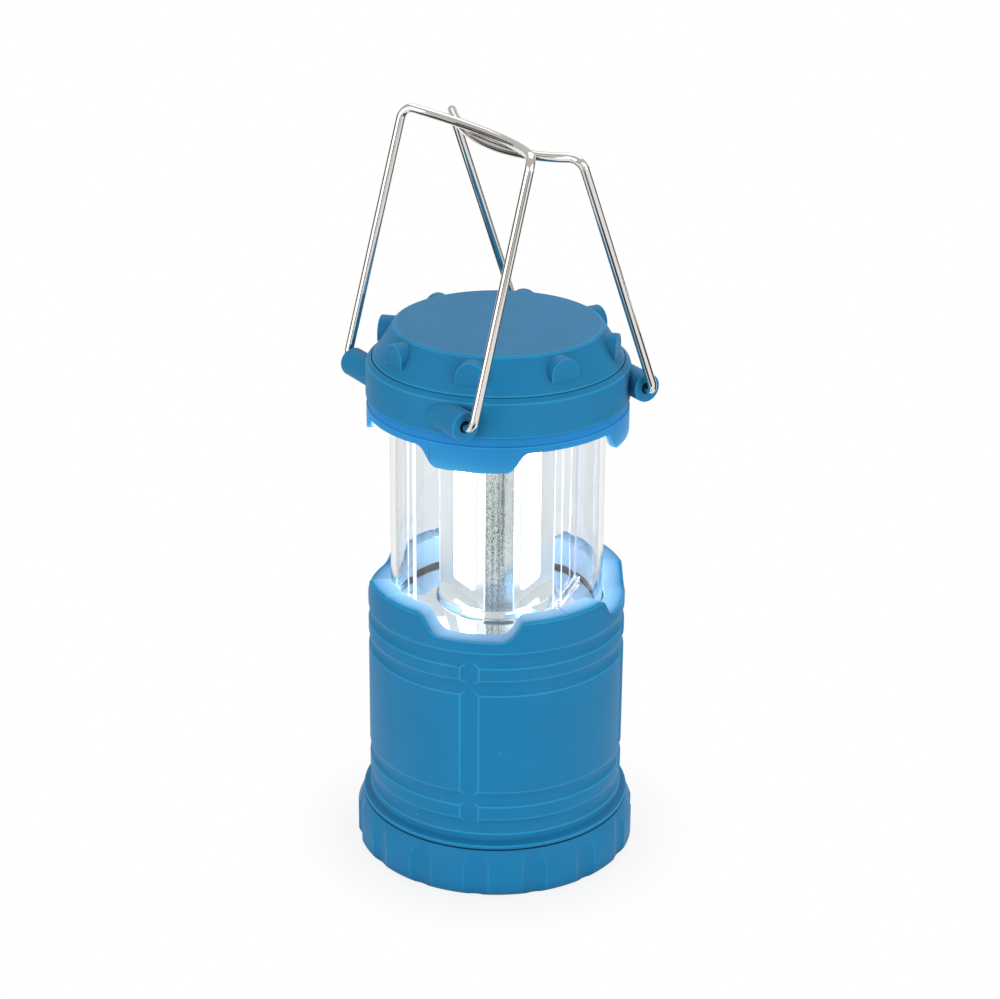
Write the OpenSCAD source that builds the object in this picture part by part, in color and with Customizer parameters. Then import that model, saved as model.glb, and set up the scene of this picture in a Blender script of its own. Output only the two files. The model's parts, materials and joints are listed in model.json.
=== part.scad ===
// Telescoping camping lantern: a scalloped battery base, a ribbed body, and a lamp head that
// slides up out of it on a clear chimney, with two folding wire handles hinged on the head.
// Millimetres, +Z up. Origin: centre of the underside, on the table. X runs along the hinge
// lines of the two handles. Drawn with the lamp head pulled up and both handles raised.

/* [Base] */
// How far the scalloped base stands out past the body, all round
base_proud = 4; // [3.6:0.1:4.6]
// Height of the base
base_h = 14.9; // [14.5:0.1:15.4]
// Number of finger scallops round the base
scallops = 15; // [12:1:18]
// Depth of each scallop
scallop_depth = 1.1; // [0.8:0.1:1.3]
// Height of the crease where the top chamfer starts
crease_h = 10.4; // [9:0.2:11]

/* [Body] */
// Diameter of the body
body_d = 80; // [79:0.5:81]
// Height of the body's rim above the table
rim_h = 91; // [89:1:95]
// Wall thickness of the body
body_wall = 2.2; // [2:0.1:2.6]
// Depth of the rim notches
notch_h = 6.5; // [5.5:0.5:6.5]
// Width of each ring groove
groove_w = 5; // [4:0.25:5]
// Depth of the ring grooves
groove_depth = 0.9; // [0.6:0.1:1]
// Width of the four upright grooves
flute_w = 6.2; // [5:0.1:6.6]
// Number of upright guide ribs inside the body
guide_ribs = 12; // [8:4:16]

/* [Lamp head] */
// Travel of the lamp head, shut to open
lift = 53.5; // [49:0.1:53.5]
// Height of the ring that carries the handles
ring_h = 12; // [11.5:0.1:13]
// Height of the cap above the ring
cap_h = 10; // [9:0.1:11]
// Diameter of the cap's flat top
cap_top_d = 62.8; // [60:0.2:64]
// Number of half-round grips on the cap
grips = 8; // [8:8:16]
// Height of the skirt above its lower edge
skirt_h = 4.7; // [4.7:0.1:5.6]
// Wall thickness of the head mouldings
head_wall = 2.4; // [2.2:0.1:2.6]

/* [Globe and light] */
// Distance from the body's outside in to the clear globe
globe_step = 7.1; // [7:0.1:7.5]
// Wall thickness of the globe
globe_wall = 2; // [1.6:0.1:2.4]
// Number of upright ribs inside the globe
globe_ribs = 4; // [4:1:8]
// Diameter over the three reflector noses
column_d = 37.2; // [36:0.1:39]
// Width of each LED board
board_w = 11; // [9:0.5:12]
// Distance of the LED boards from the middle
board_out = 11.2; // [10.8:0.1:11.5]

/* [Handles] */
// Diameter of the handle wire
wire_d = 2.8; // [2.4:0.1:3]
// Length from the hinge to the crossbar
handle_h = 79.1; // [77:0.5:79.5]
// Half width between the legs at the hinge
leg_x = 36.5; // [36.2:0.1:37]
// Half width between the legs at the crossbar
bar_x = 35.4; // [33.4:0.5:36]
// Angle of the crossbar's bow at its ends
bow_deg = 25; // [20:1:26]
// Distance of each hinge line from the middle
hinge_y = 31.6; // [31:0.1:32]
// Diameter of the hinge ears
ear_d = 8.8; // [8:0.2:9.4]
// Lean of the upper handle at rest
lean_a = 14.5; // [12:0.5:14.5]
// Lean of the lower handle at rest
lean_b = 20; // [20:0.5:23]

/* [Power] */
// Diameter of a cell
cell_d = 14.2; // [13.5:0.1:14.4]
// Length of a cell, with its pip
cell_l = 50.2; // [49:0.1:50.5]

/* [Hidden] */
$fn = 96;
e = 0.01;              // overlap where one solid runs into the next
over = 2;              // reach of a cutter past the face it cuts

// clearances
seat = 0.3;            // between parts that slide or are laid in place
slide = 0.35;          // running gap of the carrier in the guide ribs
globe_gap = 0.6;       // globe to body lip
pin_fit = 0.05;        // wire in its ear, screw in its boss, bar on the mirror
hole_fit = 0.15;       // screw shank in a clearance hole
base_gap = 0.5;        // base to the body's flange

// radii
body_r = body_d / 2;
base_r = body_r + base_proud;
globe_r = body_r - globe_step;
globe_in = globe_r - globe_wall;
lip_r = globe_r + globe_gap;
guide_r = lip_r + 1.8;
inner_r = body_r - body_wall;
neck_r = body_r - 0.6;
neck_in = neck_r - 3;
column_r = column_d / 2;
foot_r = column_r + 0.4;
ring_r = body_r;
ring_in = ring_r - head_wall;
cap_r = ring_r - 2.1;
cap_top_r = cap_top_d / 2;
wire_r = wire_d / 2;
ear_r = ear_d / 2;
cell_r = cell_d / 2;

// heights
flange_z = base_h + base_gap;
flange_h = 1.1;
cove_z = flange_z + flange_h + 0.8;
floor_z = rim_h - 10;
lip_z = floor_z + 0.8;
notch_z = rim_h - notch_h;
ledge_z = 19.3;
ledge_top = 22.1;
skirt_z = rim_h + lift + seat;
tab_h = notch_h - 0.5;
ring_z = skirt_z + skirt_h;
ring_top = ring_z + ring_h;
cap_z = ring_top + 0.3;
cap_top_z = cap_z + cap_h;
hinge_z = ring_z + 5.6;

// flanks of the rim notches; turned over, the same profile cuts the gaps between the skirt tabs
flank_deg = 20.5;      // middle of a flank, from the middle of its notch
flank_slope = 57;
rim_turn = 1.1;        // turn of notches, tabs and flutes from the diagonals
notch_foot_r = 5;      // hollow corner at the floor of a notch
notch_head_r = 2.8;    // round at the rim
gap_foot_r = 3.6;      // hollow corner beside a tab
tab_head_r = 4.5;      // round at the tip of a tab

// ring grooves, from the rim down
groove_1 = rim_h - 12.6;
groove_2 = groove_1 - 9.1;
groove_4 = cove_z + 2.3 + groove_w / 2;
groove_3 = groove_4 + 9.3;

// small hardware
screw_r = 1.1;
screw_head_r = 2;
screw_head_h = 1.2;
wire_hole_r = 3;       // holes on the axis that the supply wires run through

module ring(r_out, r_in, z0, z1) {
  difference() {
    translate([0, 0, z0]) cylinder(r = r_out, h = z1 - z0);
    translate([0, 0, z0 - over]) cylinder(r = r_in, h = z1 - z0 + 2 * over);
  }
}

// pie slice about Z, from -half to +half degrees round +X, half at most 80
module slice(half, r, z0, z1) {
  y = r * tan(half);
  translate([0, 0, z0])
    linear_extrude(height = z1 - z0)
      polygon([[0, 0], [r, -y], [r, y]]);
}

module ring_slice(half, r_out, r_in, z0, z1) {
  intersection() {
    ring(r_out, r_in, z0, z1);
    slice(half, r_out * 1.5, z0 - e, z1 + e);
  }
}

module around(n, first = 0) {
  for (i = [0 : n - 1])
    rotate([0, 0, first + i * 360 / n]) children();
}

// side view of one flank: the opening lies on the -x side, its floor at y = 0, the edge at y = h
module flank_profile(h, reach, foot_r, head_r) {
  run = h / tan(flank_slope);
  tf = foot_r * tan(flank_slope / 2);
  th = head_r * tan(flank_slope / 2);
  ux = cos(flank_slope);
  uy = sin(flank_slope);
  foot = -run / 2;
  head = run / 2;
  union() {
    polygon([[-reach, 0], [foot - tf, 0], [foot + tf * ux, tf * uy], [head, h], [head, h + over],
             [-reach, h + over]]);
    translate([foot - tf, foot_r]) circle(r = foot_r - e);
    difference() {
      polygon([[head - th * ux, h - th * uy], [head + th, h], [head + th, h + over],
               [head - th, h + over]]);
      translate([head + th, h - head_r]) circle(r = head_r - e);
    }
  }
}

// the opening between two flanks in a wall from r0 to r1, cut radially
module flank_pair(half, h, r0, r1, foot_r, head_r, widen = 0) {
  start = r0 * cos(half) - over;
  for (s = [0, 1])
    mirror([0, s, 0]) rotate([0, 0, half]) translate([start, widen, 0])
      rotate([90, 0, 90]) linear_extrude(height = r1 + over - start)
        flank_profile(h, r1 * sin(half) + widen + over, foot_r, head_r);
}

module screw(length) {
  translate([0, 0, -e]) cylinder(r = screw_r, h = length + e);
  translate([0, 0, -screw_head_h]) difference() {
    cylinder(r = screw_head_r, h = screw_head_h);
    translate([-screw_head_r * 0.7, -0.25, -e]) cube([screw_head_r * 1.4, 0.5, 0.5]);
    translate([-0.25, -screw_head_r * 0.7, -e]) cube([0.5, screw_head_r * 1.4, 0.5]);
  }
}

// ---- base ----------------------------------------------------------------------------------

base_floor = 2.4;
base_bore = neck_r + slide;
base_top_r = body_r + 2.1;
lug_z = 7;
lug_h = 2;
lug_half = 7;
lug_first = 60;        // direction of the first lug
lug_in = neck_r - 1.1;
twist = 28;            // turn from locked to free
scallop_half = 4.2;
scallop_r = (pow(scallop_half, 2) + pow(scallop_depth, 2)) / (2 * scallop_depth);
scallop_first = -39.9;
scallop_lean = 7.3;    // inward lean of a scallop above the crease

module scallop() {
  wide_r = scallop_r + base_h * tan(scallop_lean);
  lead = 0.2;
  translate([base_r + scallop_r - scallop_depth, 0, 0]) rotate_extrude()
    polygon([[0, -over], [scallop_r, -over], [scallop_r, crease_h + lead],
             [wide_r, crease_h + lead + base_h], [0, crease_h + lead + base_h]]);
}

module base_cover() color("#2b74a6") {
  foot_round = 0.8;
  stand_w = 5;
  difference() {
    rotate_extrude() polygon([[0, 0], [base_r - foot_round, 0], [base_r, foot_round],
                              [base_r, crease_h], [base_top_r, base_h], [0, base_h]]);
    translate([0, 0, base_floor]) cylinder(r = base_bore, h = base_h);
    // groove that leaves a rim to stand on
    translate([0, 0, -e]) ring(base_r - stand_w, base_r - stand_w - 3, 0, 0.8);
    around(scallops, scallop_first) scallop();
  }
  // stiffening ribs on the floor, under the cells
  for (y = [-1, 1] * cell_d)
    translate([-neck_in + 6, y - 0.6, base_floor - e])
      cube([2 * (neck_in - 6), 1.2, 0.6 + e]);
  around(3, lug_first)
    ring_slice(lug_half, base_bore + 0.5, lug_in + seat, lug_z, lug_z + lug_h);
}

// ---- body ----------------------------------------------------------------------------------

groove_r = (pow(groove_w / 2, 2) + pow(groove_depth, 2)) / (2 * groove_depth);
flute_depth = 0.8;
flute_r = (pow(flute_w / 2, 2) + pow(flute_depth, 2)) / (2 * flute_depth);
rib_t = 1.6;
rim_skin = 2;
lip_wall = 1.6;
rail_w = 5;
rail_t = 0.4;
rail_side = 8;         // degrees each side of +Y
rail_x = guide_r + seat;
rail_top = floor_z - 1.5;
tray_screw_r = 31;

module rail_slots(z0, z1) {
  for (s = [-1, 1]) rotate([0, 0, 90 + s * rail_side])
    translate([rail_x - seat, -rail_w / 2 - seat, z0])
      cube([rail_t + 2 * seat, rail_w + 2 * seat, z1 - z0]);
}

module ring_groove(z) {
  rotate_extrude() translate([body_r + groove_r - groove_depth, z]) circle(r = groove_r);
}

// L-shaped slot in the neck: a lug enters upwards at the +twist end and turns back to 0
module bayonet_slot() {
  rotate([0, 0, twist / 2])
    ring_slice(twist / 2 + lug_half + 0.6, neck_r + over, lug_in, lug_z - seat,
               lug_z + lug_h + seat);
  rotate([0, 0, twist + 0.5])
    ring_slice(lug_half + 1.1, neck_r + over, lug_in - 0.1, -over, lug_z + lug_h / 2);
}

module body_shell() color("#2f7fb3") {
  neck_z = 5.5;
  difference() {
    union() {
      // wall with its foot flange
      rotate_extrude() polygon([[inner_r, ledge_z], [inner_r, rim_h - rim_skin],
        [lip_r + lip_wall, rim_h - rim_skin], [lip_r + lip_wall, lip_z], [lip_r, lip_z],
        [lip_r, rim_h], [body_r - 0.6, rim_h], [body_r, rim_h - 0.6], [body_r, cove_z],
        [base_top_r, flange_z + flange_h], [base_top_r, flange_z], [neck_r, flange_z],
        [neck_r, neck_z], [neck_in, neck_z], [neck_in, ledge_z]]);
      // ledge over the battery bay
      ring(inner_r + e, lip_r - 5, ledge_z, ledge_top);
      // guide ribs for the sliding carrier
      around(guide_ribs, 180 / guide_ribs)
        translate([guide_r, -rib_t / 2, ledge_top - e])
          cube([inner_r - guide_r + e, rib_t, rim_h - rim_skin - ledge_top]);
      // solid rim round each notch; hollow between them
      around(4, 45 + rim_turn)
        ring_slice(flank_deg + 8, inner_r + e, lip_r + lip_wall - e, lip_z,
                   rim_h - rim_skin + e);
    }
    around(4, 45 + rim_turn) translate([0, 0, notch_z])
      flank_pair(flank_deg, notch_h, lip_r, body_r, notch_foot_r, notch_head_r);
    around(4, rim_turn) translate([lip_r - over, 0, rim_h]) rotate([0, 90, 0])
      rotate([0, 0, 45]) translate([-0.55, -0.55, 0]) cube([1.1, 1.1, body_r]);
    for (z = [groove_1, groove_2, groove_3, groove_4]) ring_groove(z);
    around(4, 45 + rim_turn)
      translate([body_r + flute_r - flute_depth, 0, groove_4])
        cylinder(r = flute_r, h = groove_1 - groove_4);
    around(3, lug_first) bayonet_slot();
    around(4) translate([tray_screw_r, 0, ledge_z - over])
      cylinder(r = screw_r + pin_fit, h = ledge_top - ledge_z + over - 0.6);
    // slots that let the contact rails down through the ledge
    rail_slots(ledge_z - over, ledge_top + e);
  }
  // pads the rails lie on
  for (s = [-1, 1]) rotate([0, 0, 90 + s * rail_side])
    translate([rail_x + rail_t, -1.5, ledge_top - e])
      cube([inner_r - rail_x - rail_t + seat, 3, rail_top - ledge_top]);
}

// ---- battery bay ----------------------------------------------------------------------------

pitch = cell_d + 0.4;
cell_z = base_floor + 0.9 + cell_r;
bay_x = cell_l / 2 + 1.1;
tray_r = neck_in - 0.4;
tray_t = 1.6;
tray_z = ledge_z - tray_t;
plate_t = 0.4;

module battery_tray() color("#2a2d30") {
  wall_z = cell_z - 1;
  difference() {
    union() {
      translate([0, 0, tray_z]) cylinder(r = tray_r, h = tray_t);
      // end walls and side walls of the bay
      for (s = [-1, 1]) {
        translate([s * (bay_x + plate_t + 0.8) - 0.8, -1.5 * pitch - seat, wall_z])
          cube([1.6, 3 * pitch + 2 * seat, tray_z - wall_z + e]);
        translate([-bay_x - 1, s * (1.5 * pitch + 0.6) - 0.6, wall_z])
          cube([2 * bay_x + 2, 1.2, tray_z - wall_z + e]);
      }
      // low dividers between the cells
      for (y = [-0.5, 0.5] * pitch)
        translate([-bay_x + 3, y - 0.5, cell_z + 4.6])
          cube([2 * bay_x - 6, 1, tray_z - cell_z - 4.6 + e]);
    }
    around(4) translate([tray_screw_r, 0, tray_z - over])
      cylinder(r = screw_r + hole_fit, h = tray_t + 2 * over);
    rail_slots(tray_z - over, ledge_z + e);
  }
}

module tray_screws() color("#b9bec2") {
  around(4) translate([tray_screw_r, 0, tray_z]) screw(3.5);
}

module cell() {
  barrel = cell_l - 1;
  translate([-cell_l / 2, 0, 0]) rotate([0, 90, 0]) {
    difference() {
      cylinder(r = cell_r, h = barrel);
      translate([0, 0, barrel - 0.4]) ring(cell_r - 1, 3.4, 0, 1);
    }
    translate([0, 0, barrel - e]) cylinder(r = 2.75, h = 1);
  }
}

module cell_1() color("#c9a24a") translate([0, -pitch, cell_z]) cell();
module cell_2() color("#c9a24a") translate([0, 0, cell_z]) rotate([0, 0, 180]) cell();
module cell_3() color("#c9a24a") translate([0, pitch, cell_z]) cell();

// stamped plate against the +X end wall of the bay
module end_plate(width) {
  foot = cell_z - 0.6;
  translate([0, -width / 2, foot]) cube([plate_t, width, tray_z - foot]);
}

// spring leaf on a plate, bowed towards the end of a cell
module leaf() {
  span = 7;
  rise = 0.9;
  bend = (pow(span / 2, 2) + pow(rise, 2)) / (2 * rise);
  intersection() {
    translate([bend - rise, 2, cell_z + 3]) rotate([90, 0, 0]) difference() {
      cylinder(r = bend, h = 4);
      translate([0, 0, -e]) cylinder(r = bend - plate_t, h = 4 + 2 * e);
    }
    translate([-rise, -2, cell_z + 3 - span / 2]) cube([rise + plate_t, 4, span]);
  }
}

module cell_links() color("#d0c48c") {
  translate([bay_x, -pitch / 2, 0]) end_plate(pitch + 9);
  translate([bay_x, 0, 0]) leaf();
  translate([bay_x, -pitch, 0]) leaf();
  rotate([0, 0, 180]) {
    translate([bay_x, -pitch / 2, 0]) end_plate(pitch + 9);
    translate([bay_x, 0, 0]) leaf();
    translate([bay_x, -pitch, 0]) leaf();
  }
}

module cell_terminals() color("#d0c48c") {
  for (a = [0, 180]) rotate([0, 0, a]) translate([bay_x, pitch, 0]) {
    end_plate(8);
    leaf();
  }
}

module contact_rails() color("#c7a86a") {
  for (s = [-1, 1]) rotate([0, 0, 90 + s * rail_side]) {
    tail_z = tray_z - 2;
    translate([rail_x, -rail_w / 2, tail_z]) cube([rail_t, rail_w, rail_top - tail_z]);
    // solder tag turned in under the tray
    translate([rail_x - 2.5, -rail_w / 2, tail_z]) cube([2.5 + e, rail_w, rail_t]);
  }
}

// ---- carriage and floor of the lamp ---------------------------------------------------------

carrier_r = guide_r - slide;
carrier_z = floor_z - 5;
mirror_t = 2;
mirror_z = floor_z - mirror_t;
crown = 2;             // rise of the mirror towards the column
crown_z = floor_z + crown;
crown_r = foot_r + 0.8;
foot_h = 2.4;
foot_top = crown_z + foot_h;
carrier_screw_r = 12;
carrier_screw_first = 30;
wiper_w = 4.4;
wiper_t = 0.4;
wiper_x = carrier_r - 1.1;
wiper_z = carrier_z + 0.9;
wiper_h = 4.4;

module carrier() color("#d9dcde") {
  shelf = 1.6;
  difference() {
    translate([0, 0, carrier_z]) cylinder(r = carrier_r, h = lip_z - seat - carrier_z);
    translate([0, 0, mirror_z]) cylinder(r = globe_r + seat, h = 10);
    // coring under the floor, leaving a hub, a rim and eight spokes
    difference() {
      ring(globe_in - 2, carrier_screw_r + 4, carrier_z - over, mirror_z - shelf);
      around(8, 22.5) translate([0, -0.7, carrier_z - over]) cube([carrier_r, 1.4, 10]);
    }
    around(3, carrier_screw_first) translate([carrier_screw_r, 0, carrier_z - over])
      cylinder(r = screw_r + hole_fit, h = 10);
    around(3, carrier_screw_first) translate([carrier_screw_r, 0, carrier_z - over])
      cylinder(r = screw_head_r + hole_fit, h = over + screw_head_h + hole_fit);
    translate([0, 0, carrier_z - over]) cylinder(r = wire_hole_r, h = 10);
    // pockets for the two wipers
    for (s = [-1, 1]) rotate([0, 0, 90 + s * rail_side])
      translate([wiper_x, -wiper_w / 2 - hole_fit, wiper_z - hole_fit])
        cube([over, wiper_w + 2 * hole_fit, 10]);
    // slots that free eight sprung fingers in the sliding rim
    around(8, 22.5) for (s = [-1, 1])
      rotate([0, 0, s * 5]) translate([globe_r, -0.4, mirror_z]) cube([over + 1, 0.8, 10]);
  }
}

module carrier_screws() color("#b9bec2") {
  around(3, carrier_screw_first) translate([carrier_screw_r, 0, carrier_z + screw_head_h + hole_fit])
    screw(foot_top - 1 - carrier_z - screw_head_h - hole_fit);
}

module wiper_contacts() color("#c7a86a") {
  rise = rail_x - seat - wiper_x - wiper_t;
  bend = (pow(wiper_h / 2, 2) + pow(rise, 2)) / (2 * rise);
  for (s = [-1, 1]) rotate([0, 0, 90 + s * rail_side]) {
    translate([wiper_x, -wiper_w / 2, wiper_z]) cube([wiper_t, wiper_w, wiper_h]);
    intersection() {
      translate([wiper_x + wiper_t + rise - bend, 1.5, wiper_z + wiper_h / 2])
        rotate([90, 0, 0]) difference() {
          cylinder(r = bend, h = 3);
          translate([0, 0, -e]) cylinder(r = bend - wiper_t, h = 3 + 2 * e);
        }
      translate([wiper_x + e, -1.5, wiper_z]) cube([over + 1, 3, wiper_h]);
    }
  }
}

// upper face of the mirror, a shallow cone with a flat crown
module mirror_body(r) {
  rotate_extrude() polygon([[0, mirror_z], [r, mirror_z], [r, floor_z], [crown_r, crown_z],
                            [0, crown_z]]);
}

module floor_mirror() color("#dfe3e6") {
  difference() {
    mirror_body(globe_in - seat);
    around(3, carrier_screw_first) translate([carrier_screw_r, 0, mirror_z - over])
      cylinder(r = screw_r + hole_fit, h = 10);
    translate([0, 0, mirror_z - over]) cylinder(r = wire_hole_r, h = 10);
  }
}

// low bar that leads the supply wires across the mirror to the column
module wire_cover() color("#eef2f5") {
  side = 38.5;         // direction of its closest approach to the middle
  away = foot_r + 1.6;
  length = 20.3;
  low = mirror_z + mirror_t / 2;
  top = crown_z + 0.6;
  rotate([0, 0, side]) difference() {
    union() {
      translate([away - 1, 0, low]) cube([2, length, top - low]);
      translate([foot_r + seat, -1.5, low]) cube([away + 1 - foot_r - seat, 3, top - low]);
    }
    translate([0, 0, pin_fit]) mirror_body(globe_in + over);
  }
}

// ---- light column ---------------------------------------------------------------------------

shell_t = 1.2;
nose_deg = 14;         // half angle of a nose, seen from the middle
seam_deg = 59.8;
board_t = 1;
board_z = floor_z + 8;
board_top = ring_z - 2;
strip_t = 0.5;

module column_foot() color("#dfe3e6") {
  post_r = 4.5;
  difference() {
    union() {
      rotate_extrude() polygon([[0, crown_z], [foot_r, crown_z], [foot_r - 0.9, foot_top - 0.3],
        [foot_r - 1.2, foot_top], [0, foot_top]]);
      translate([0, 0, foot_top - e]) cylinder(r = post_r, h = ring_z - foot_top + e);
    }
    translate([0, 0, crown_z - over]) cylinder(r = post_r - 1.5, h = ring_z);
    around(3, carrier_screw_first) translate([carrier_screw_r, 0, crown_z - over])
      cylinder(r = screw_r + pin_fit, h = over + foot_h - 0.7);
  }
}

// plan of one third of the column: two half noses, two flanks and the flat the board lies on
module reflector_plan(t) {
  valley = board_w / 2 + 0.7;
  nose = [column_r * cos(60 - nose_deg), column_r * sin(60 - nose_deg)];
  flank = nose - [board_out, valley];
  u = flank / norm(flank);
  shift = t * [-u[1], u[0]];
  near = [board_out - t, valley + shift[1]];
  far = nose + shift + u * over;
  tip = 1.2 * column_r * [cos(seam_deg), sin(seam_deg)];
  intersection() {
    circle(r = column_r - t);
    polygon([[0, 0], tip, far, near, [near[0], -near[1]], [far[0], -far[1]],
             [tip[0], -tip[1]]]);
  }
}

module reflector() color("#d4d8dc") {
  translate([0, 0, foot_top]) linear_extrude(height = ring_z - seat - foot_top)
    difference() {
      reflector_plan(0);
      reflector_plan(shell_t);
    }
}

module led_board() color("#f2f3ee") {
  translate([board_out, -board_w / 2, board_z])
    cube([board_t, board_w, board_top - board_z]);
}

module led_strip() color("#f6e8a8") {
  half = board_w / 2 - 1;
  translate([board_out + board_t, 0, 0]) rotate([90, 0, 90]) linear_extrude(height = strip_t)
    difference() {
      translate([-half, board_z + 1]) square([2 * half, board_top - board_z - 2]);
      for (x = [-half, half], z = [board_z + 1, board_top - 1])
        translate([x, z]) circle(r = 0.8);
    }
}

module reflector_1() rotate([0, 0, -90]) reflector();
module reflector_2() rotate([0, 0, 30]) reflector();
module reflector_3() rotate([0, 0, 150]) reflector();
module led_board_1() rotate([0, 0, -90]) led_board();
module led_board_2() rotate([0, 0, 30]) led_board();
module led_board_3() rotate([0, 0, 150]) led_board();
module led_strip_1() rotate([0, 0, -90]) led_strip();
module led_strip_2() rotate([0, 0, 30]) led_strip();
module led_strip_3() rotate([0, 0, 150]) led_strip();

globe_lip_r = globe_r + 1;
globe_lip_h = 1.1;

module globe() color("#dbe8ef", 0.35) {
  rib_w = 2.8;
  rib_turn = 3;
  ring(globe_r, globe_in, mirror_z, ring_z);
  ring(globe_lip_r, globe_r - e, ring_z - globe_lip_h, ring_z);
  intersection() {
    ring(globe_in + e, globe_in - 1, floor_z + seat, ring_z - 1);
    around(globe_ribs, rib_turn)
      translate([0, -rib_w / 2, floor_z]) cube([globe_r, rib_w, ring_z - floor_z]);
  }
}

// ---- head -----------------------------------------------------------------------------------

plate_h = 1.6;
plate_top = ring_z + plate_h;
head_screw_r = (globe_r + ring_in) / 2;
lug_top = plate_top + 2;
board_stand = 1.5;
cap_seat = ring_top - 1.2;
snap_z = cap_seat - 3;
skirt_r = ring_r - 0.2;
skirt_in = skirt_r - head_wall;
ear_face = leg_x - 3.6;
ear_hole = 7;
mouth_depth = 1.8;
mouth_fit = 0.4;

module head_plate() color("#eceff1") {
  difference() {
    union() {
      translate([0, 0, ring_z]) cylinder(r = ring_in - seat, h = plate_h);
      around(3, 90) translate([20, 0, plate_top - e]) cylinder(r = 2.5, h = board_stand + e);
      // upstanding rib that keeps the plate flat
      ring(globe_in, globe_in - 1.2, plate_top - e, plate_top + 1);
    }
    around(4) translate([head_screw_r, 0, ring_z - over])
      cylinder(r = screw_r + hole_fit, h = 10);
    translate([0, 0, ring_z - over]) cylinder(r = wire_hole_r, h = 10);
  }
}

module driver_board() color("#2e7d4f") {
  thick = 1.6;
  top = plate_top + board_stand + thick;
  chip = [8, 6, 1.6];
  can_r = 3.2;
  can_h = 3;
  coil_r = 4.5;
  coil_h = 2.6;
  translate([0, 0, top - thick]) difference() {
    cylinder(r = globe_in - 7, h = thick);
    translate([0, 0, -over]) cylinder(r = wire_hole_r, h = thick + 2 * over);
  }
  translate([-chip[0] / 2, 9, top - e]) cube(chip);
  translate([-12, -9, top - e]) cylinder(r = can_r, h = can_h);
  translate([9, -8, top - e]) ring(coil_r, 2, 0, coil_h);
}

module head_screws() color("#b9bec2") {
  around(4) translate([head_screw_r, 0, lug_top]) rotate([180, 0, 0]) screw(6.6);
}

module cap_skirt() color("#3a8bcb") {
  shoulder = ring_z - 2.5;
  flange = ring_z - 2.1;
  tab_z = skirt_z - tab_h;
  difference() {
    rotate_extrude() polygon([[skirt_in, tab_z], [skirt_in, flange], [globe_r + seat, flange],
      [globe_r + seat, ring_z - globe_lip_h], [globe_lip_r + seat, ring_z - globe_lip_h],
      [globe_lip_r + seat, ring_z], [skirt_r - 0.5, ring_z], [skirt_r - 0.5, shoulder],
      [skirt_r, shoulder - 0.3], [skirt_r, tab_z]]);
    // gaps between the tabs that drop into the rim notches
    around(4, rim_turn) translate([0, 0, skirt_z]) mirror([0, 0, 1])
      flank_pair(45 - flank_deg, tab_h + 0.2, skirt_in, skirt_r, gap_foot_r, tab_head_r, seat);
    around(4) translate([head_screw_r, 0, flange - over])
      cylinder(r = screw_r + pin_fit, h = 10);
  }
  around(4) difference() {
    translate([head_screw_r, 0, skirt_z + 0.6]) cylinder(r = 2.1, h = flange - skirt_z - 0.6 + e);
    translate([head_screw_r, 0, skirt_z + 1.2]) cylinder(r = screw_r + pin_fit, h = 10);
  }
}

// a pair of ears at the two ends of one hinge line
module ears() {
  for (s = [0, 1]) mirror([s, 0, 0])
    translate([ear_face / 2 - 2, 0, hinge_z]) rotate([0, 90, 0])
      cylinder(r = ear_r, h = ear_face / 2 + 2);
}

module ear_holes() {
  for (s = [0, 1]) mirror([s, 0, 0])
    translate([ear_face - ear_hole, 0, hinge_z]) rotate([0, 90, 0])
      cylinder(r = wire_r + pin_fit, h = ear_hole + over);
}

// wider mouth of each ear, where the wire starts to bend
module ear_mouths() {
  for (s = [0, 1]) mirror([s, 0, 0])
    translate([ear_face - mouth_depth, 0, hinge_z]) rotate([0, 90, 0])
      cylinder(r = wire_r + mouth_fit, h = mouth_depth + over);
}

module cap_ring() color("#2f7fb3") {
  difference() {
    union() {
      rotate_extrude() polygon([[ring_in, ring_z], [ring_in, cap_seat], [cap_r + seat, cap_seat],
        [cap_r + seat, ring_top], [ring_r - 1.4, ring_top - 0.4], [ring_r - 0.3, ring_top - 1.4],
        [ring_r, ring_top - 2.4], [ring_r, ring_z + 0.3], [ring_r - 0.3, ring_z]]);
      difference() {
        for (y = [-1, 1] * hinge_y) translate([0, y, 0]) ears();
        translate([0, 0, ring_z - over]) cylinder(r = ring_in + 0.5, h = 20);
      }
      // lugs clamped down on the head plate
      around(4) difference() {
        translate([globe_r + 0.6, -3, plate_top]) cube([ring_in - globe_r, 6, 2]);
        ring(ring_r + 5, ring_in + 0.5, plate_top - over, plate_top + 5);
      }
    }
    for (y = [-1, 1] * hinge_y) translate([0, y, 0]) {
      ear_holes();
      ear_mouths();
    }
    around(4) translate([head_screw_r, 0, plate_top - over])
      cylinder(r = screw_r + hole_fit, h = 10);
    // groove for the cap's snap beads
    ring(cap_r + seat, ring_in - over, snap_z - seat, snap_z + 1 + seat);
  }
}

grip_half = 4.6;
grip_z = cap_z + 2.4;
cone_run = (cap_r - cap_top_r - 0.3) / (cap_h - 0.4);
grip_face = cap_r - (grip_z - cap_z) * cone_run + 0.15;

module grip_plan(half) {
  straight = 2.2;
  intersection() {
    union() {
      translate([-half, 0]) square([2 * half, straight]);
      translate([0, straight]) circle(r = half);
    }
    translate([-half, 0]) square([2 * half, straight + half]);
  }
}

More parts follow.
